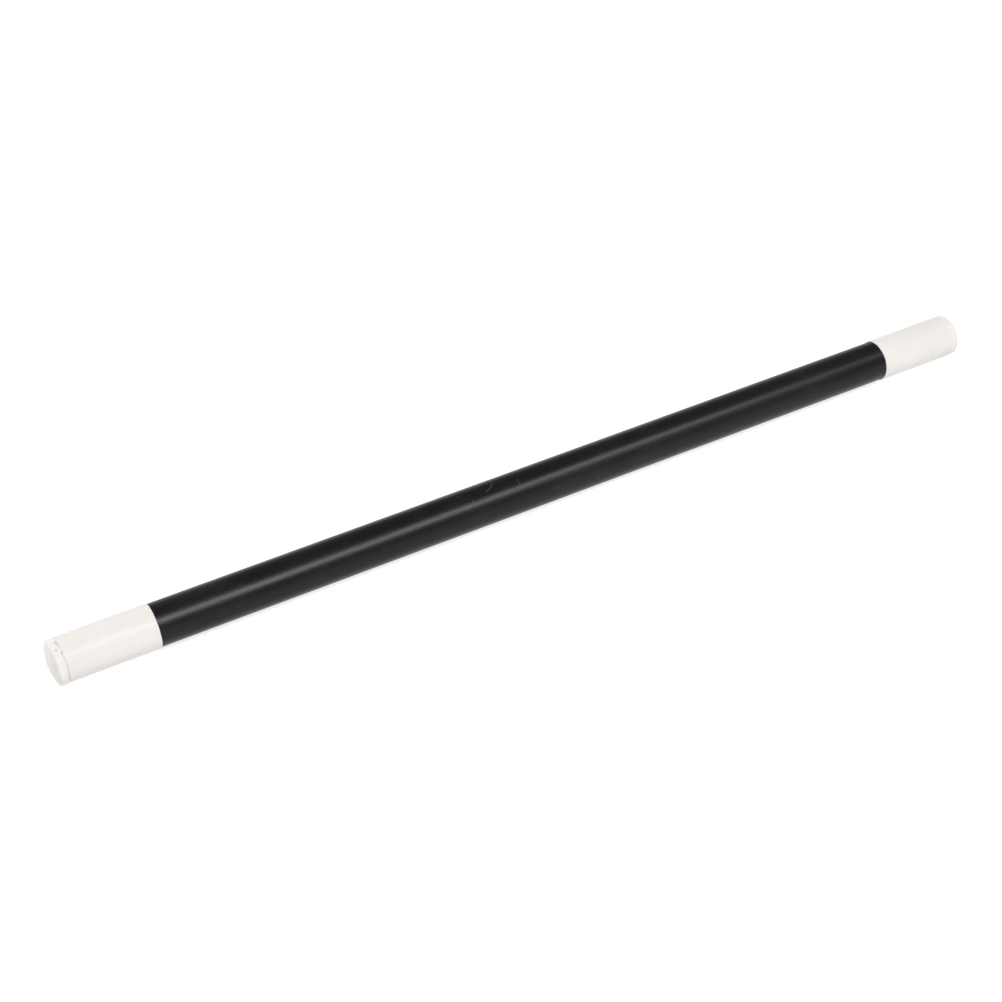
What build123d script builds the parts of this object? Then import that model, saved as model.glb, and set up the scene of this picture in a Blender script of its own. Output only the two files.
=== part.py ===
from build123d import *
import os

# A stage magician's wand: a black plastic tube with a white sleeve over each end and a white
# moulded plug pushed into each end.
#
# The wand lies along X with its middle at the origin, +Z up. The "near" end is at -X and the
# "far" end at +X. All sizes are in millimetres.

# Driving dimensions
overall_length = 304.8  # 12 inches, from dome to dome
tube_diameter = 12.5
tube_wall = 1.25
sleeve_wall = 0.25
sleeve_length = 26.3
head_rim_length = 2.4  # straight side of a plug's head
dome_height = 1.3  # how far the domed face stands beyond that side
near_end_wedge = 0.4  # how far out of square the tube's near end is cut, across its diameter

# Fits and moulded details
spigot_clearance = 0.05  # radial, so that a plug slides in the bore
spigot_length = 12.0
spigot_wall = 1.0
spigot_lead_in = 0.6
crush_rib_height = 0.35
crush_rib_width = 0.9
crush_rib_count = 4
head_skin = 1.6  # thickness of the plug's face at its middle
pry_notch_width = 1.1
pry_notch_depth = 0.35
end_deburr = 0.2  # chamfer inside the tube's ends
outer_edge_round = 0.08  # broken edge on the sleeves' and the heads' outer corners
rim_round = 0.5  # where a head's side turns into its dome

# Worked out from the driving dimensions
sleeve_radius = tube_diameter / 2 + sleeve_wall
bore_radius = tube_diameter / 2 - tube_wall
shoulder_x = overall_length / 2 - dome_height - head_rim_length  # plane that a head rests on
rib_radius = bore_radius - spigot_clearance
spigot_radius = rib_radius - crush_rib_height
core_radius = spigot_radius - spigot_wall
core_depth = head_rim_length + dome_height - head_skin  # how far the core runs into the head

# The near end is cut along this plane: it meets the plug at the top and gapes at the bottom.
near_cut_slope = near_end_wedge / (2 * sleeve_radius)
near_cut = Plane(
    origin=(-shoulder_x + near_end_wedge / 2, 0, 0),
    x_dir=(0, 1, 0),
    z_dir=(1, 0, near_cut_slope),
)

# Which end each plug closes, as the direction of X in which its head points, and the angle about
# X of the pry notch in its rim, from the top towards +Y.
plug_ends = {"near": (-1, 16), "far": (1, 150)}

os.makedirs("parts", exist_ok=True)


# Shaft tube: runs from plug to plug, square at the far end
with BuildPart() as shaft_tube:
    with BuildSketch(Plane.YZ.offset(-shoulder_x)):
        Circle(tube_diameter / 2)
        Circle(bore_radius, mode=Mode.SUBTRACT)
    extrude(amount=2 * shoulder_x)
    split(bisect_by=near_cut, keep=Keep.TOP)
    bore_edges = shaft_tube.edges().filter_by(
        lambda edge: edge.geom_type in (GeomType.CIRCLE, GeomType.ELLIPSE)
        and edge.bounding_box().size.Y < 2 * bore_radius + tube_wall
    )
    chamfer(bore_edges, end_deburr)
shaft_tube.part.label = "shaft_tube"
export_step(shaft_tube.part, "parts/shaft_tube.step")


# Tip sleeves: thin, glued over the tube, flush with its ends
with BuildPart() as near_tip_sleeve:
    with BuildSketch(Plane.YZ.offset(-shoulder_x)):
        Circle(sleeve_radius)
        Circle(tube_diameter / 2, mode=Mode.SUBTRACT)
    extrude(amount=sleeve_length)
    split(bisect_by=near_cut, keep=Keep.TOP)
    outer_edges = near_tip_sleeve.edges().filter_by(
        lambda edge: edge.bounding_box().size.Y > tube_diameter + sleeve_wall
        and edge.geom_type != GeomType.LINE
    )
    fillet(outer_edges, outer_edge_round)
near_tip_sleeve.part.label = "near_tip_sleeve"
export_step(near_tip_sleeve.part, "parts/near_tip_sleeve.step")

with BuildPart() as far_tip_sleeve:
    with BuildSketch(Plane.YZ.offset(shoulder_x - sleeve_length)):
        Circle(sleeve_radius)
        Circle(tube_diameter / 2, mode=Mode.SUBTRACT)
    extrude(amount=sleeve_length)
    outer_edges = far_tip_sleeve.edges().filter_by(
        lambda edge: edge.bounding_box().size.Y > tube_diameter + sleeve_wall
        and edge.geom_type != GeomType.LINE
    )
    fillet(outer_edges, outer_edge_round)
far_tip_sleeve.part.label = "far_tip_sleeve"
export_step(far_tip_sleeve.part, "parts/far_tip_sleeve.step")


# End plugs: a domed head on a hollow spigot with crush ribs
for end_name, (side, notch_angle) in plug_ends.items():
    # Local X runs outward along the wand and local Y is the radius.
    profile_plane = Plane(
        origin=(side * shoulder_x, 0, 0), x_dir=(side, 0, 0), z_dir=(0, -side, 0)
    )
    # Local Z runs inward along the wand, and local Y is up.
    shoulder_plane = Plane(
        origin=(side * shoulder_x, 0, 0), x_dir=(0, -side, 0), z_dir=(-side, 0, 0)
    )

    with BuildPart() as end_plug:
        with BuildSketch(profile_plane) as profile:
            with BuildLine():
                rim_corner = (head_rim_length, sleeve_radius)
                face_middle = (head_rim_length + dome_height, 0)
                Polyline((core_depth, 0), (core_depth, core_radius), (-spigot_length, core_radius))
                Polyline(
                    (-spigot_length, core_radius),
                    (-spigot_length, spigot_radius - spigot_lead_in / 2),
                    (-spigot_length + spigot_lead_in, spigot_radius),
                    (0, spigot_radius),
                    (0, sleeve_radius),
                    rim_corner,
                )
                TangentArc(face_middle, rim_corner, tangent=(0, 1))
                Line(face_middle, (core_depth, 0))
            make_face()
            fillet(profile.vertices().sort_by_distance(rim_corner)[0], rim_round)
            chamfer(profile.vertices().sort_by_distance((0, sleeve_radius))[0], outer_edge_round)
        revolve(axis=Axis.X)

        # Crush ribs along the spigot, round-topped to the bore's running clearance
        with BuildSketch(shoulder_plane):
            with PolarLocations(spigot_radius, crush_rib_count):
                Rectangle(2 * crush_rib_height, crush_rib_width)
            Circle(rib_radius, mode=Mode.INTERSECT)
            Circle(spigot_radius - spigot_wall / 2, mode=Mode.SUBTRACT)
        extrude(amount=spigot_length - spigot_lead_in)

        # Pry notch: a fingernail slot in the head's side, open towards the tube
        with BuildSketch(shoulder_plane):
            with PolarLocations(sleeve_radius, 1, start_angle=90 + side * notch_angle):
                Circle(pry_notch_width / 2)
        extrude(amount=-pry_notch_depth, mode=Mode.SUBTRACT)

    end_plug.part.label = f"{end_name}_end_plug"
    export_step(end_plug.part, f"parts/{end_name}_end_plug.step")
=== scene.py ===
import math

import bmesh
import bpy
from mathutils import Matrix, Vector, noise


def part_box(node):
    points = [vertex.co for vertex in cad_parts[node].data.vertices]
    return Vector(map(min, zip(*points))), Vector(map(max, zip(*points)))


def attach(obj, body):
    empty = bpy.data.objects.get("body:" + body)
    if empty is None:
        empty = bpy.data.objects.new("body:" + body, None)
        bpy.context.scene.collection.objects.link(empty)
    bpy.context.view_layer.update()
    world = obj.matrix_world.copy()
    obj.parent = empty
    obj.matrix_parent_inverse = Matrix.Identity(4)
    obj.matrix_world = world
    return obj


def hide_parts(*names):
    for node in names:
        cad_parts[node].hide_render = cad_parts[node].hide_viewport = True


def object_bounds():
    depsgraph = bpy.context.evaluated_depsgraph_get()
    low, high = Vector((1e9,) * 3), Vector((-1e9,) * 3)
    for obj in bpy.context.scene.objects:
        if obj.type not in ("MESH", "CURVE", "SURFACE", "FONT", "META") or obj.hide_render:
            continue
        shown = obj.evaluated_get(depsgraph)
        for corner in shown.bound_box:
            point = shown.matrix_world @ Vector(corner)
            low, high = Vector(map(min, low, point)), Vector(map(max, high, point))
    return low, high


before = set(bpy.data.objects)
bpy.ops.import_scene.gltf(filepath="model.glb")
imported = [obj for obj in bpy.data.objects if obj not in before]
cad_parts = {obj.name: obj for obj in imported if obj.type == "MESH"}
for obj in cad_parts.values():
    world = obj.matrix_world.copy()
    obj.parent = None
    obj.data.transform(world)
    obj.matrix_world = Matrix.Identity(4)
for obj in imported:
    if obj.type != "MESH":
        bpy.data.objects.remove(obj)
cad_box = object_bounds()

# A stage magician's wand lying along X: black tube, white tip sleeves, white end plugs.
# Everything is in metres. Angles about the wand are measured from +Y towards +Z. The near end is the
# one at -X, whose plug has been prised at and pushed back.

MM = 0.001
TINY = 1e-9

# Sizes read from the frame
sleeve_inner_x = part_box("far_tip_sleeve")[0].x
sleeve_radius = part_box("far_tip_sleeve")[1].z
shoulder_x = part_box("shaft_tube")[1].x  # the plane that both plug heads rest on
spigot_end_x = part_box("far_end_plug")[0].x
tip_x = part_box("far_end_plug")[1].x
floor_z = cad_box[0].z

# Sizes inside the wand, which no box shows
sleeve_wall = 0.25 * MM
tube_radius = sleeve_radius - sleeve_wall
bore_radius = 5.0 * MM
bore_deburr = 0.2 * MM
rim_length = 2.4 * MM  # the straight side of a plug's head, between its shoulder and its dome
rim_rounding = 0.62 * MM
spigot_radius = 4.6 * MM
lead_in_length, lead_in_depth = 0.6 * MM, 0.3 * MM
rib_height = 0.35 * MM
rib_width = 0.9 * MM
core_radius = 3.6 * MM
core_depth = 2.1 * MM

# The near end's wear
near_wedge = 0.16 * MM  # how far the end is cut out of square, across the sleeve
head_shift = 0.16 * MM  # how far the plug's head stands off the axis towards -Y, at its seam
head_lean = 0.035  # and how much further for each metre outward
seam_groove = 0.17 * MM  # how far the seam's edges are worn down where the seam gapes most
seam_groove_reach = 0.35 * MM
edge_depth = 0.09 * MM  # no deeper than this is still a rounded outer edge, which a chip takes with it

# Chips out of the outer edges at the near seam. Each is (angle in degrees, width, depth along the
# side, depth into the wall).
head_chips = [
    (88.5, 1.9 * MM, 0.7 * MM, 0.28 * MM),
    (102.0, 0.8 * MM, 0.25 * MM, 0.16 * MM),
    (120.0, 0.9 * MM, 0.3 * MM, 0.22 * MM),
]
sleeve_chips = [
    (87.0, 1.3 * MM, 0.3 * MM, 0.12 * MM),
    (119.0, 0.6 * MM, 0.14 * MM, 0.12 * MM),
]
# The mark beside the main chip: a raised lip of plastic, and the pit that it was pushed out of.
# Each is (angle in degrees, distance from the seam, half width, half length, height).
head_gouge = [
    (101.5, 0.75 * MM, 0.42 * MM, 0.34 * MM, 0.16 * MM),
    (108.5, 1.15 * MM, 0.55 * MM, 0.42 * MM, -0.3 * MM),
]

# ---------------------------------------------------------------------------------------------
# Shapes
# ---------------------------------------------------------------------------------------------


def angle_gap(angle, middle):
    """Signed difference of two angles, within half a turn."""
    return (angle - middle + math.pi) % math.tau - math.pi


def limited(value):
    return max(0.0, min(1.0, value))


def wave(angle, seed, scale=2.0):
    """Smooth noise round a circle, from -1 to 1."""
    return noise.noise(Vector((math.cos(angle) * scale, math.sin(angle) * scale, seed)))


def bump(distance, width):
    """1 at the middle, falling smoothly to 0 at width."""
    part = min(1.0, abs(distance) / width)
    return (1 - part * part) ** 2


def rounded(corners, closed, arc_steps):
    """Points through (x, radius, rounding) corners: an arc at each, and a support point each side."""
    points = []
    count = len(corners)
    for i, (x, radius, rounding) in enumerate(corners):
        here = Vector((x, radius))
        at_end = not closed and i in (0, count - 1)
        if at_end or rounding == 0:
            points.append(here)
            continue
        before = Vector(corners[i - 1][:2]) - here
        after = Vector(corners[(i + 1) % count][:2]) - here
        before.normalize()
        after.normalize()
        half_angle = math.acos(max(-1.0, min(1.0, before.dot(after)))) / 2
        reach = rounding / math.tan(half_angle)
        middle = here + (before + after).normalized() * (rounding / math.sin(half_angle))
        first = here + before * reach - middle
        last = here + after * reach - middle
        start_turn = math.atan2(first.y, first.x)
        sweep = angle_gap(math.atan2(last.y, last.x), start_turn)
        points.append(here + before * (reach + rounding / 2))
        for step in range(arc_steps + 1):
            turn = start_turn + sweep * step / arc_steps
            points.append(middle + Vector((math.cos(turn), math.sin(turn))) * rounding)
        points.append(here + after * (reach + rounding / 2))
    return points


def subdivided(points, longest, closed):
    """The same outline with no straight run longer than longest."""
    result = []
    ends = points[1:] + points[:1] if closed else points[1:]
    for start, end in zip(points, ends):
        pieces = max(1, math.ceil((end - start).length / longest))
        result += [start.lerp(end, i / pieces) for i in range(pieces)]
    if not closed:
        result.append(points[-1])
    return result


def lathe(name, outline, steps, shape):
    """Turns an outline of (x, radius) points about X, in that many steps.

    The outline is a loop, or it starts and ends on the axis. shape(x, radius, angle) gives the x and
    radius that each point goes to.
    """
    bm = bmesh.new()
    rings = []
    for x, radius in outline:
        if radius < TINY:
            on_axis = bm.verts.new((shape(x, radius, 0)[0], 0, 0))
            rings.append([on_axis] * steps)
            continue
        ring = []
        for step in range(steps):
            angle = math.tau * step / steps
            px, pr = shape(x, radius, angle)
            ring.append(bm.verts.new((px, pr * math.cos(angle), pr * math.sin(angle))))
        rings.append(ring)
    for ring, following in zip(rings, rings[1:] + rings[:1]):
        for step in range(steps):
            after = (step + 1) % steps
            corners = [ring[step], ring[after], following[after], following[step]]
            unique = list(dict.fromkeys(corners))
            if len(unique) > 2:
                bm.faces.new(unique)
    bmesh.ops.recalc_face_normals(bm, faces=bm.faces)
    mesh = bpy.data.meshes.new(name)
    bm.to_mesh(mesh)
    bm.free()
    mesh.polygons.foreach_set("use_smooth", [True] * len(mesh.polygons))
    piece = bpy.data.objects.new(name, mesh)
    bpy.context.scene.collection.objects.link(piece)
    return piece


def chipped(depth, across, angle, chips):
    """Where a point of a square outer edge goes when chips are broken out of that edge.

    depth is how far along the side from the edge, across how far in from it over the end face.
    """
    for middle, width, side_cut, face_cut in chips:
        offset = angle_gap(angle, math.radians(middle)) * sleeve_radius / (width / 2)
        if abs(offset) >= 1:
            continue
        size = math.sqrt(1 - offset * offset)
        ragged = 1 + 0.3 * noise.noise(Vector((angle * 60, middle, 0)))
        side_cut, face_cut = side_cut * size * ragged, face_cut * size * ragged
        if depth >= side_cut or across >= face_cut or min(depth, across) > edge_depth:
            continue
        turn = math.pi / 4 * (1 - depth / side_cut + across / face_cut)
        return side_cut * math.cos(turn), face_cut * math.sin(turn)
    return depth, across


def near_cut(x, radius, angle, weight):
    """Shears the near end to the slope that it was cut at, so that its seam closes at the top."""
    slope = near_wedge / (2 * sleeve_radius)
    return x + weight * (near_wedge / 2 - slope * radius * math.sin(angle))


def groove(distance, angle):
    """How far an edge of the near seam is worn down, at that distance from the seam."""
    gape = (1 - math.sin(angle)) / 2
    return seam_groove * gape * bump(distance, seam_groove_reach)


def make_tube():
    cut_reach = 20 * MM  # how far along the tube the near end's shear dies away
    waviness = 0.006 * MM
    waves_per_metre = 22
    half = shoulder_x
    corners = [
        (-half, tube_radius, 0.06 * MM),
        (half, tube_radius, 0.06 * MM),
        (half, bore_radius + bore_deburr, 0.04 * MM),
        (half - bore_deburr, bore_radius, 0.04 * MM),
        (-half + bore_deburr, bore_radius, 0.04 * MM),
        (-half, bore_radius + bore_deburr, 0.04 * MM),
    ]

    def shape(x, radius, angle):
        on_skin = radius > bore_radius + 0.3 * MM
        if on_skin:
            place = Vector((x * waves_per_metre, math.cos(angle), math.sin(angle)))
            radius += waviness * noise.noise(place)
        return near_cut(x, radius, angle, limited((-x - half + cut_reach) / cut_reach)), radius

    outline = subdivided(rounded(corners, closed=True, arc_steps=3), 3 * MM, closed=True)
    return lathe("black_tube", outline, 192, shape)


def make_sleeve(end_name, side):
    """A thin tube over the end of the shaft. Its inner edge is a slightly uneven knife cut."""
    lift = 0.004 * MM  # keeps the sleeve's bore clear of the tube's skin
    cut_reach = 6 * MM
    unevenness, uneven_reach = 0.035 * MM, 1.5 * MM
    waviness = 0.008 * MM
    waves_per_metre = 90
    inner, outer = sleeve_inner_x, shoulder_x
    corners = [
        (inner, sleeve_radius, 0.09 * MM),
        (outer, sleeve_radius, 0.05 * MM),
        (outer, tube_radius + lift, 0.03 * MM),
        (inner, tube_radius + lift, 0.03 * MM),
    ]

    def shape(x, radius, angle):
        from_end = outer - abs(x)
        if side < 0:
            depth, across = chipped(from_end, sleeve_radius - radius, angle, sleeve_chips)
            x = -(outer - depth)
            radius = sleeve_radius - across
            x = near_cut(x, radius, angle, bump(from_end, cut_reach))
            if radius > sleeve_radius - 0.1 * MM:
                radius -= 0.8 * groove(from_end, angle)
        x += side * unevenness * wave(angle, 3.0 + side) * bump(abs(x) - inner, uneven_reach)
        on_skin = radius > tube_radius + 0.1 * MM
        if on_skin:
            place = Vector((x * waves_per_metre, 2 * math.cos(angle), 2 * math.sin(angle)))
            radius += waviness * noise.noise(place)
        return x, radius

    outline = subdivided(rounded(corners, closed=True, arc_steps=4), 0.5 * MM, closed=True)
    outline = [(side * x, radius) for x, radius in outline]
    return lathe(f"white_sleeve_{end_name}", outline, 288, shape)


def make_plug(end_name, side, prised):
    """Domed head, hollow spigot and crush ribs. Distances run outward from the head's shoulder."""
    dome = tip_x - shoulder_x - rim_length
    dome_radius = (sleeve_radius**2 + dome**2) / (2 * dome)
    dome_middle = rim_length + dome - dome_radius
    dome_half_angle = math.asin(sleeve_radius / dome_radius)
    dome_steps = 14
    dome_edge = sleeve_radius - 1.2 * MM  # the rim's rounding takes the rest
    spigot_end = -(shoulder_x - spigot_end_x)
    rib_flank, rib_lead = 0.08 * MM, 1.2 * MM
    corners = []
    for step in range(dome_steps):
        turn = dome_half_angle * step / dome_steps
        out, radius = dome_middle + dome_radius * math.cos(turn), dome_radius * math.sin(turn)
        if radius < dome_edge:
            corners.append((out, radius, 0))
    corners += [
        (rim_length, sleeve_radius, rim_rounding),
        (0, sleeve_radius, 0.05 * MM),
        (0, spigot_radius, 0.12 * MM),
        (spigot_end + lead_in_length, spigot_radius, 0.1 * MM),
        (spigot_end, spigot_radius - lead_in_depth, 0.08 * MM),
        (spigot_end, core_radius, 0.1 * MM),
        (core_depth, core_radius, 0.3 * MM),
        (core_depth, 0, 0),
    ]
    points = rounded(corners, closed=False, arc_steps=5)
    last_on_shoulder = [i for i, (out, radius) in enumerate(points) if abs(out) < TINY][-1]
    head, spigot = points[: last_on_shoulder + 1], points[last_on_shoulder:]
    outline = subdivided(head, 0.12 * MM, closed=False)[:-1] + subdivided(spigot, 0.6 * MM, closed=False)
    outline = [(point.x, max(0.0, point.y)) for point in outline]

    def shape(out, radius, angle):
        on_spigot = out < -0.05 * MM and radius > spigot_radius - lead_in_depth - 0.02 * MM
        if on_spigot:
            from_rib = abs(angle_gap(angle * 4, 0) / 4) * spigot_radius
            rib = limited((rib_width / 2 - from_rib) / rib_flank + 0.5)
            radius += rib * limited((out - spigot_end) / rib_lead) * rib_height
        if prised:
            if radius > spigot_radius + 0.5 * MM:
                out, across = chipped(out, sleeve_radius - radius, angle, head_chips)
                radius = sleeve_radius - across
            if radius > sleeve_radius - 0.1 * MM:
                radius -= groove(out, angle)
            if radius > sleeve_radius - 0.4 * MM:
                for middle, place, width, length, height in head_gouge:
                    around = angle_gap(angle, math.radians(middle)) * sleeve_radius
                    radius += height * bump(around, width) * bump(out - place, length)
        return side * (shoulder_x + out), radius

    plug = lathe(f"white_plug_{end_name}", outline, 360, shape)
    if prised:
        for vertex in plug.data.vertices:
            out = abs(vertex.co.x) - shoulder_x
            if out > -0.01 * MM:
                vertex.co.y -= head_shift + head_lean * out
    return plug


black_tube = make_tube()
near_sleeve = make_sleeve("near", -1)
far_sleeve = make_sleeve("far", 1)
near_plug = make_plug("near", -1, prised=True)
far_plug = make_plug("far", 1, prised=False)

# ---------------------------------------------------------------------------------------------
# Materials
# ---------------------------------------------------------------------------------------------


class Maker:
    """Short-hand for one material's nodes. Positions are the object's own, in millimetres."""

    def __init__(self, name):
        self.material = bpy.data.materials.new(name)
        self.material.use_nodes = True
        self.tree = self.material.node_tree
        self.shader = self.tree.nodes["Principled BSDF"]
        place = self.add("ShaderNodeTexCoord").outputs["Object"]
        self.place = self.scaled(place, (1 / MM, 1 / MM, 1 / MM))
        parts = self.add("ShaderNodeSeparateXYZ")
        self.link(self.place, parts.inputs[0])
        self.x, self.y, self.z = parts.outputs

    def add(self, kind, **settings):
        node = self.tree.nodes.new(kind)
        for key, value in settings.items():
            setattr(node, key, value)
        return node

    def link(self, source, target):
        """Links a socket to target, or sets a plain value on it."""
        if isinstance(source, bpy.types.NodeSocket):
            self.tree.links.new(source, target)
        else:
            target.default_value = source

    def math(self, operation, a, b=0.0, c=0.0, clamp=False):
        node = self.add("ShaderNodeMath", operation=operation, use_clamp=clamp)
        for value, socket in zip((a, b, c), node.inputs):
            self.link(value, socket)
        return node.outputs[0]

    def times(self, a, b):
        return self.math("MULTIPLY", a, b)

    def most(self, *values):
        result = values[0]
        for value in values[1:]:
            result = self.math("MAXIMUM", result, value)
        return result

    def from_point(self, operation, point):
        """A vector node that works on the place and a fixed point, in millimetres."""
        node = self.add("ShaderNodeVectorMath", operation=operation)
        self.link(self.place, node.inputs[0])
        node.inputs[1].default_value = point
        return node

    def scaled(self, vector, factors):
        node = self.add("ShaderNodeVectorMath", operation="MULTIPLY")
        self.link(vector, node.inputs[0])
        node.inputs[1].default_value = factors
        return node.outputs[0]

    def turned(self, vector, axis, degrees):
        node = self.add("ShaderNodeVectorRotate", rotation_type="AXIS_ANGLE")
        self.link(vector, node.inputs["Vector"])
        node.inputs["Axis"].default_value = axis
        node.inputs["Angle"].default_value = math.radians(degrees)
        return node.outputs[0]

    def noise(self, vector, scale, detail, roughness):
        node = self.add("ShaderNodeTexNoise")
        self.link(vector, node.inputs["Vector"])
        node.inputs["Scale"].default_value = scale
        node.inputs["Detail"].default_value = detail
        node.inputs["Roughness"].default_value = roughness
        return node.outputs["Fac"]

    def ramp(self, value, low, high, to_low=0.0, to_high=1.0):
        """A smooth step of value from low..high to to_low..to_high."""
        node = self.add("ShaderNodeMapRange", interpolation_type="SMOOTHSTEP")
        for item, socket in zip((value, low, high, to_low, to_high), node.inputs):
            self.link(item, socket)
        return node.outputs[0]

    def near(self, value, middle, width):
        """1 where value is at middle, falling to 0 at width from it."""
        return self.ramp(self.math("ABSOLUTE", self.math("SUBTRACT", value, middle)), 0, width, 1, 0)

    def mix(self, factor, first, second):
        node = self.add("ShaderNodeMix", data_type="RGBA")
        self.link(factor, node.inputs[0])
        self.link(first, node.inputs[6])
        self.link(second, node.inputs[7])
        return node.outputs[2]

    def layered(self, color, *layers):
        """color under layers of (mask, strength, layer's colour)."""
        for mask, strength, layer_color in layers:
            color = self.mix(self.times(mask, strength), color, layer_color)
        return color

    def bump(self, height, distance, after=None):
        """A bump whose height of 1 stands distance millimetres."""
        node = self.add("ShaderNodeBump")
        node.inputs["Strength"].default_value = 1.0
        node.inputs["Distance"].default_value = distance * MM
        self.link(height, node.inputs["Height"])
        if after:
            self.link(after, node.inputs["Normal"])
        return node.outputs["Normal"]

    def specks(self, per_mm, share, size):
        """Round spots of varied size, in that share of the cells of a grid with per_mm to the millimetre."""
        cells = self.add("ShaderNodeTexVoronoi", feature="F1")
        self.link(self.place, cells.inputs["Vector"])
        cells.inputs["Scale"].default_value = per_mm
        pick = self.add("ShaderNodeSeparateColor")
        self.link(cells.outputs["Color"], pick.inputs[0])
        chosen = self.math("LESS_THAN", pick.outputs[0], share)
        edge = self.math("MULTIPLY_ADD", pick.outputs[1], size, size * 0.4)
        spot = self.ramp(self.math("DIVIDE", cells.outputs["Distance"], edge), 0.6, 1.0, 1.0, 0.0)
        return self.times(spot, chosen)

    def hairlines(self, axis, degrees, scale, stretch, threshold):
        """Sparse fine scratches along one direction: the crests of a much stretched noise."""
        turned = self.turned(self.place, axis, degrees)
        lines = self.noise(self.scaled(turned, (1 / stretch, 1.0, 1.0)), scale, 1.0, 0.4)
        crest = self.math("ABSOLUTE", self.math("SUBTRACT", lines, 0.5))
        thin = self.ramp(crest, 0.0, 0.012, 1.0, 0.0)
        where = self.ramp(self.noise(self.place, 0.09, 2.0, 0.6), threshold, threshold + 0.06)
        return self.times(thin, where)

    def arc_mark(self, x, angle, radius, facing, reach, width):
        """A short curved scratch on the tube: part of a thin ring about a point of its skin.

        x and angle, in millimetres and degrees, place the ring's middle, facing (about the same
        surface: 0 is +X, 90 is up the side) points to the middle of the arc kept, and reach is
        that arc's half sweep in degrees.
        """
        around, look = math.radians(angle), math.radians(facing)
        up_side = Vector((0, -math.sin(around), math.cos(around)))
        kept = Vector((1, 0, 0)) * math.cos(look) + up_side * math.sin(look)
        offset = self.from_point("SUBTRACT", skin_point(x, angle, tube_radius / MM))
        length = self.add("ShaderNodeVectorMath", operation="LENGTH")
        self.link(offset.outputs[0], length.inputs[0])
        along = self.add("ShaderNodeVectorMath", operation="DOT_PRODUCT")
        self.link(offset.outputs[0], along.inputs[0])
        along.inputs[1].default_value = kept
        limit = radius * math.cos(math.radians(reach))
        return self.times(
            self.near(length.outputs["Value"], radius, width),
            self.ramp(along.outputs["Value"], limit, limit + width),
        )

    def spot(self, x, angle, skin, size):
        """A soft spot about a point of a piece's skin, fading out at size, in millimetres."""
        distance = self.from_point("DISTANCE", skin_point(x, angle, skin)).outputs["Value"]
        return self.ramp(distance, size * 0.4, size, 1, 0)

    def finish(self, color, roughness, normal, specular):
        self.link(color, self.shader.inputs["Base Color"])
        self.link(roughness, self.shader.inputs["Roughness"])
        self.link(normal, self.shader.inputs["Normal"])
        self.shader.inputs["Specular IOR Level"].default_value = specular
        return self.material


def skin_point(x, degrees, radius):
    around = math.radians(degrees)
    return Vector((x, radius * math.cos(around), radius * math.sin(around)))


# The wand's own places in millimetres, as the materials measure them
skin_mm = sleeve_radius / MM
joint_mm = sleeve_inner_x / MM
near_seam_mm = -shoulder_x / MM

# Linear colours. Each plastic varies between two.
black_pair = (0.0070, 0.0069, 0.0084, 1), (0.0090, 0.0089, 0.0104, 1)
sleeve_pair = (0.652, 0.626, 0.604, 1), (0.63, 0.605, 0.582, 1)
plug_pair = (0.665, 0.642, 0.62, 1), (0.64, 0.62, 0.598, 1)
scratched_black = (0.16, 0.16, 0.165, 1)
scuffed_white = (0.5, 0.48, 0.46, 1)
worn_white = (0.55, 0.53, 0.5, 1)
# Painted shade for the hollows of the near plug's chips and pit
chip_shade_grey = (0.36, 0.32, 0.33, 1)
# Grime mixed with painted shade, for the darker patches along the seams between parts
sleeve_grime_and_shade_grey = (0.42, 0.37, 0.32, 1)
plug_grime_and_shade_grey = (0.4, 0.35, 0.3, 1)
dark_speck = (0.3, 0.28, 0.26, 1)


def black_plastic():
    """Satin extruded tube: faint die lines along it, handling marks, a few scratches and specks."""
    m = Maker("black_satin_plastic")
    die_lines = m.noise(m.scaled(m.place, (0.02, 6.0, 6.0)), scale=1.0, detail=3.0, roughness=0.7)
    skin = m.noise(m.place, scale=5.0, detail=3.0, roughness=0.6)
    handling = m.noise(m.scaled(m.place, (0.35, 1.0, 1.0)), scale=0.05, detail=4.0, roughness=0.6)
    hairlines = m.most(
        m.hairlines((0, 1, 0), 3, scale=2.2, stretch=40, threshold=0.5),
        m.hairlines((0, 0, 1), 72, scale=1.6, stretch=30, threshold=0.56),
        m.hairlines((0, 0, 1), -38, scale=1.3, stretch=26, threshold=0.58),
    )
    marks = m.most(
        m.arc_mark(-20.2, 67.5, radius=3.97, facing=60, reach=33, width=0.16),
        m.arc_mark(-26.0, 116, radius=1.3, facing=20, reach=30, width=0.12),
        m.arc_mark(-27.0, 124, radius=0.8, facing=40, reach=40, width=0.12),
        m.arc_mark(-12.6, 108, radius=3.3, facing=5, reach=22, width=0.1),
        m.arc_mark(15.6, 181.5, radius=0.14, facing=0, reach=180, width=0.16),
    )
    specks = m.specks(per_mm=0.28, share=0.05, size=0.035)
    scratches = m.times(hairlines, 0.1)
    pale = m.most(scratches, m.times(marks, 0.5), m.times(specks, 0.35))
    color = m.mix(m.ramp(handling, 0.35, 0.7), *black_pair)
    color = m.mix(pale, color, scratched_black)
    roughness = m.ramp(handling, 0.3, 0.7, 0.3, 0.35)
    roughness = m.math("ADD", roughness, m.ramp(skin, 0.3, 0.7, -0.02, 0.02))
    roughness = m.math("ADD", roughness, m.times(pale, 0.2), clamp=True)
    normal = m.bump(die_lines, 0.004)
    normal = m.bump(skin, 0.0025, normal)
    normal = m.bump(m.times(m.most(scratches, marks), -1.0), 0.006, normal)
    return m.finish(color, roughness, normal, specular=0.18)


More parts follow.
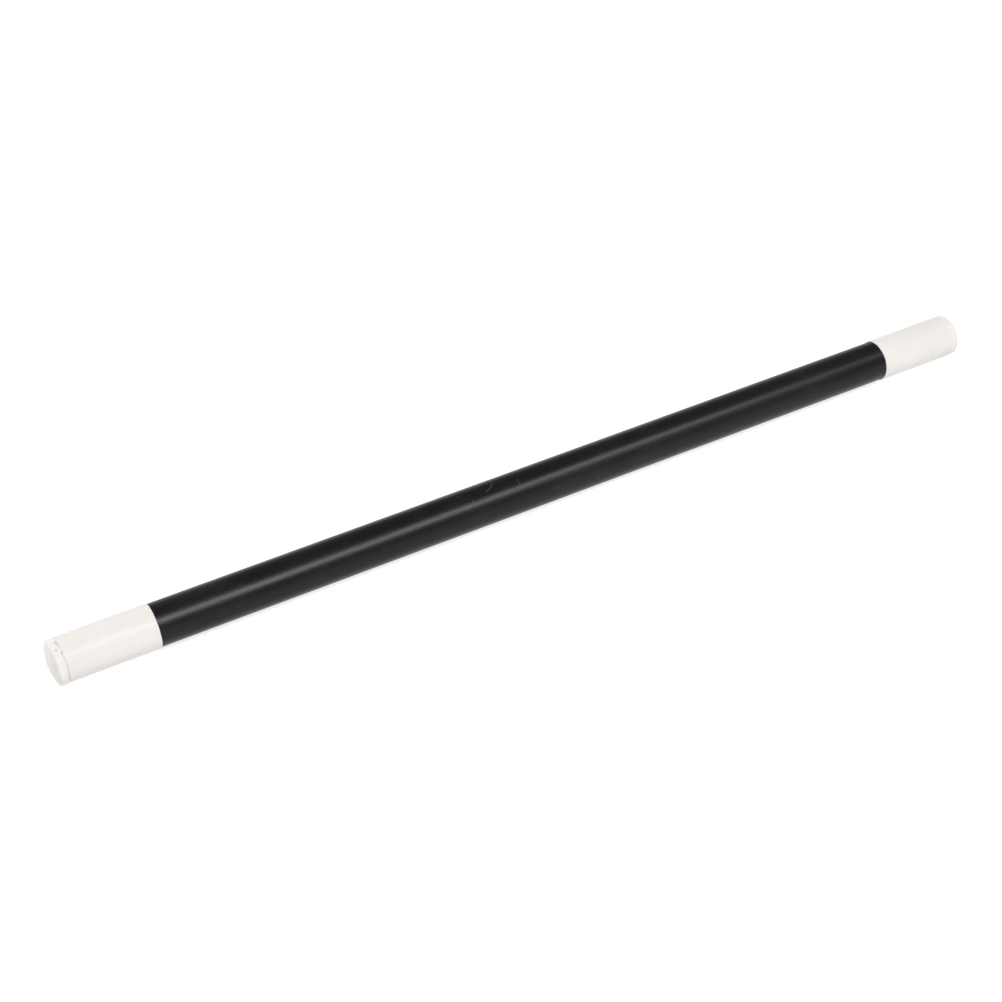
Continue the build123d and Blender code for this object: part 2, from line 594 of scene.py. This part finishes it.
def sleeve_plastic():
    """Warm white thin plastic: a faint orange peel, small scuffs, and grime mixed with painted shade at the
    cut edges and the near seam.
    """
    m = Maker("white_sleeve_plastic")
    peel = m.noise(m.place, scale=1.4, detail=2.0, roughness=0.5)
    grain = m.noise(m.place, scale=9.0, detail=2.0, roughness=0.6)
    tone = m.noise(m.scaled(m.place, (0.5, 1.0, 1.0)), scale=0.12, detail=3.0, roughness=0.55)
    smear = m.noise(m.scaled(m.place, (2.0, 1.0, 1.0)), scale=0.9, detail=3.0, roughness=0.6)
    scuffs = m.most(
        m.hairlines((0, 1, 0), 8, scale=1.8, stretch=22, threshold=0.5),
        m.hairlines((0, 0, 1), 64, scale=1.5, stretch=18, threshold=0.54),
    )
    specks = m.specks(per_mm=0.4, share=0.04, size=0.03)
    # Grime and painted shade: darker noisy patches within 0.7 mm of the cut edge over the tube and within
    # 0.8 mm of the near seam, where shade falls between the parts
    at_joint = m.near(m.math("ABSOLUTE", m.x), joint_mm, 0.7)
    at_seam = m.near(m.x, near_seam_mm, 0.8)
    seam_grime_and_shade = m.times(m.most(at_joint, at_seam), m.ramp(smear, 0.35, 0.75))
    color = m.layered(
        m.mix(m.ramp(tone, 0.3, 0.7), *sleeve_pair),
        (seam_grime_and_shade, 0.2, sleeve_grime_and_shade_grey),
        (scuffs, 0.22, scuffed_white),
        (specks, 0.5, dark_speck),
    )
    roughness = m.ramp(tone, 0.3, 0.7, 0.36, 0.43)
    roughness = m.math("ADD", roughness, m.times(m.most(scuffs, seam_grime_and_shade), 0.25), clamp=True)
    normal = m.bump(peel, 0.012)
    normal = m.bump(grain, 0.0015, normal)
    normal = m.bump(m.times(scuffs, -1.0), 0.004, normal)
    return m.finish(color, roughness, normal, specular=0.22)


def plug_plastic():
    """Moulded white plastic, a little duller than the sleeve, worn where its rim turns to the dome."""
    m = Maker("white_plug_plastic")
    texture = m.noise(m.place, scale=4.5, detail=3.0, roughness=0.6)
    flow = m.noise(m.scaled(m.place, (1.0, 0.6, 0.6)), scale=0.5, detail=3.0, roughness=0.6)
    wear_patches = m.noise(m.place, scale=1.6, detail=4.0, roughness=0.7)
    grime_and_shade_patches = m.noise(m.place, scale=1.1, detail=3.0, roughness=0.6)
    specks = m.specks(per_mm=0.5, share=0.05, size=0.04)
    from_axis = m.math("SQRT", m.math("ADD", m.times(m.y, m.y), m.times(m.z, m.z)))
    at_rim = m.times(
        m.near(m.math("ABSOLUTE", m.x), (shoulder_x + rim_length) / MM, 0.7),
        m.near(from_axis, skin_mm, 0.8),
    )
    wear = m.times(at_rim, m.ramp(wear_patches, 0.45, 0.7))
    # Grime and painted shade: darker noisy patches on the head within 0.7 mm of the near seam, where shade
    # falls between plug and sleeve
    seam_grime_and_shade = m.times(m.near(m.x, near_seam_mm, 0.7), m.ramp(grime_and_shade_patches, 0.3, 0.7))
    knocks = m.most(
        m.hairlines((1, 0, 0), 30, scale=1.2, stretch=12, threshold=0.5),
        m.hairlines((0, 1, 0), 75, scale=1.0, stretch=10, threshold=0.52),
    )
    # Painted shade in the main chip, the pit beside it and the smallest chip: darker patches where these
    # hollows lie in shadow
    prised = m.most(
        m.spot(near_seam_mm - 0.35, 89, skin_mm - 0.2, size=0.75),
        m.times(m.spot(near_seam_mm - 1.15, 108.5, skin_mm - 0.2, size=0.55), 0.9),
        m.times(m.spot(near_seam_mm - 0.2, 120, skin_mm, size=0.5), 0.3),
    )
    color = m.layered(
        m.mix(m.ramp(flow, 0.3, 0.7), *plug_pair),
        # painted shade in the chips and the pit
        (prised, 0.3, chip_shade_grey),
        (wear, 0.3, worn_white),
        (seam_grime_and_shade, 0.2, plug_grime_and_shade_grey),
        (knocks, 0.25, scuffed_white),
        (specks, 0.5, dark_speck),
    )
    roughness = m.ramp(flow, 0.3, 0.7, 0.42, 0.5)
    roughness = m.math("ADD", roughness, m.times(m.most(wear, seam_grime_and_shade, knocks), 0.2), clamp=True)
    normal = m.bump(texture, 0.006)
    normal = m.bump(m.times(m.most(knocks, wear), -1.0), 0.008, normal)
    return m.finish(color, roughness, normal, specular=0.25)


tube_material = black_plastic()
sleeve_material = sleeve_plastic()
plug_material = plug_plastic()

# Which CAD node each piece stands for, the body it rides on, its slot and its material
pieces = [
    (black_tube, "shaft_tube", "wand", "black_plastic", tube_material),
    (near_sleeve, "near_tip_sleeve", "wand", "white_sleeve_plastic", sleeve_material),
    (far_sleeve, "far_tip_sleeve", "wand", "white_sleeve_plastic", sleeve_material),
    (near_plug, "near_end_plug", "near_plug", "white_plug_plastic", plug_material),
    (far_plug, "far_end_plug", "far_plug", "white_plug_plastic", plug_material),
]
for piece, node, body, slot_name, material in pieces:
    piece.data.materials.append(material)
    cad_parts[node].data.materials.clear()
    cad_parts[node].data.materials.append(material)
    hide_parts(node)
    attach(piece, body)

# ---------------------------------------------------------------------------------------------
# Studio
# ---------------------------------------------------------------------------------------------

scene = bpy.context.scene

# Each light is (name, place, point aimed at, (length, width), watts). The two keys draw the highlight
# along the tube; the fills stand where the camera doesn't see them mirrored in it.
lights = [
    ("key", (0.3, -0.64, 0.94), (-0.4, 0, 0), (0.9, 0.26), 10),
    ("near_key", (0.0, -0.56, 0.96), (-0.1, 0, 0), (0.2, 0.22), 4.2),
    ("top_fill", (-0.55, 0.95, 0.75), (0, 0, 0), (0.7, 0.7), 12),
    ("end_fill", (-1.0, -0.2, 0.5), (-0.1, 0, 0), (0.6, 0.6), 2.5),
]

floor_radius = 6.0
floor_grey = 0.35
floor_glow = 0.75
# The world's grey at two heights of the direction looked in, where 0 is level and 1 is straight up
sky = [(0.12, 0.85), (0.38, 0.1)]

camera_heading = math.radians(29.45)  # turned from +Y towards +X
camera_pitch = math.radians(40.74)  # downward
camera_aim = Vector((-14.65 * MM, -1.21 * MM, 0))
camera_distance = 567.2 * MM
camera_lens, camera_sensor = 69.83, 36


def grey(level):
    return level, level, level, 1


def make_floor():
    """A wide disc of opal board, partly lit from within, so that the wand hardly shades it."""
    bm = bmesh.new()
    bmesh.ops.create_circle(bm, cap_ends=True, radius=floor_radius, segments=96)
    mesh = bpy.data.meshes.new("floor")
    bm.to_mesh(mesh)
    bm.free()
    floor = bpy.data.objects.new("floor", mesh)
    floor.location.z = floor_z
    scene.collection.objects.link(floor)
    material = bpy.data.materials.new("pale_floor")
    material.use_nodes = True
    shader = material.node_tree.nodes["Principled BSDF"]
    shader.inputs["Base Color"].default_value = grey(floor_grey)
    shader.inputs["Roughness"].default_value = 0.9
    shader.inputs["Specular IOR Level"].default_value = 0.1
    shader.inputs["Emission Color"].default_value = grey(1)
    shader.inputs["Emission Strength"].default_value = floor_glow
    mesh.materials.append(material)


def make_world():
    """A pale horizon under a dark ceiling, so that the black tube has something dark to mirror."""
    world = bpy.data.worlds.new("studio")
    world.use_nodes = True
    scene.world = world
    tree = world.node_tree
    direction = tree.nodes.new("ShaderNodeTexCoord").outputs["Generated"]
    parts = tree.nodes.new("ShaderNodeSeparateXYZ")
    tree.links.new(direction, parts.inputs[0])
    ramp = tree.nodes.new("ShaderNodeValToRGB")
    for element, (height, level) in zip(ramp.color_ramp.elements, sky):
        element.position = height
        element.color = grey(level)
    tree.links.new(parts.outputs[2], ramp.inputs[0])
    background = tree.nodes["Background"]
    tree.links.new(ramp.outputs[0], background.inputs["Color"])
    background.inputs["Strength"].default_value = 1.0


def make_light(name, place, aim, size, watts):
    light = bpy.data.lights.new(name, "AREA")
    light.shape = "RECTANGLE"
    light.size, light.size_y = size
    light.energy = watts
    lamp = bpy.data.objects.new(name, light)
    lamp.location = place
    lamp.rotation_euler = (Vector(aim) - Vector(place)).to_track_quat("-Z", "Y").to_euler()
    scene.collection.objects.link(lamp)


def make_camera():
    """Looks down at the wand across its near end, held level, with a short telephoto lens."""
    level_part = math.cos(camera_pitch)
    forward = Vector(
        (
            math.sin(camera_heading) * level_part,
            math.cos(camera_heading) * level_part,
            -math.sin(camera_pitch),
        )
    )
    camera_data = bpy.data.cameras.new("camera")
    camera_data.lens = camera_lens
    camera_data.sensor_width = camera_sensor
    camera_data.clip_start = 0.01
    camera = bpy.data.objects.new("camera", camera_data)
    camera.location = camera_aim - forward * camera_distance
    camera.rotation_euler = (math.pi / 2 - camera_pitch, 0, -camera_heading)
    scene.collection.objects.link(camera)
    scene.camera = camera


make_floor()
make_world()
for light in lights:
    make_light(*light)
make_camera()
scene.view_settings.view_transform = "Standard"
scene.view_settings.look = "None"
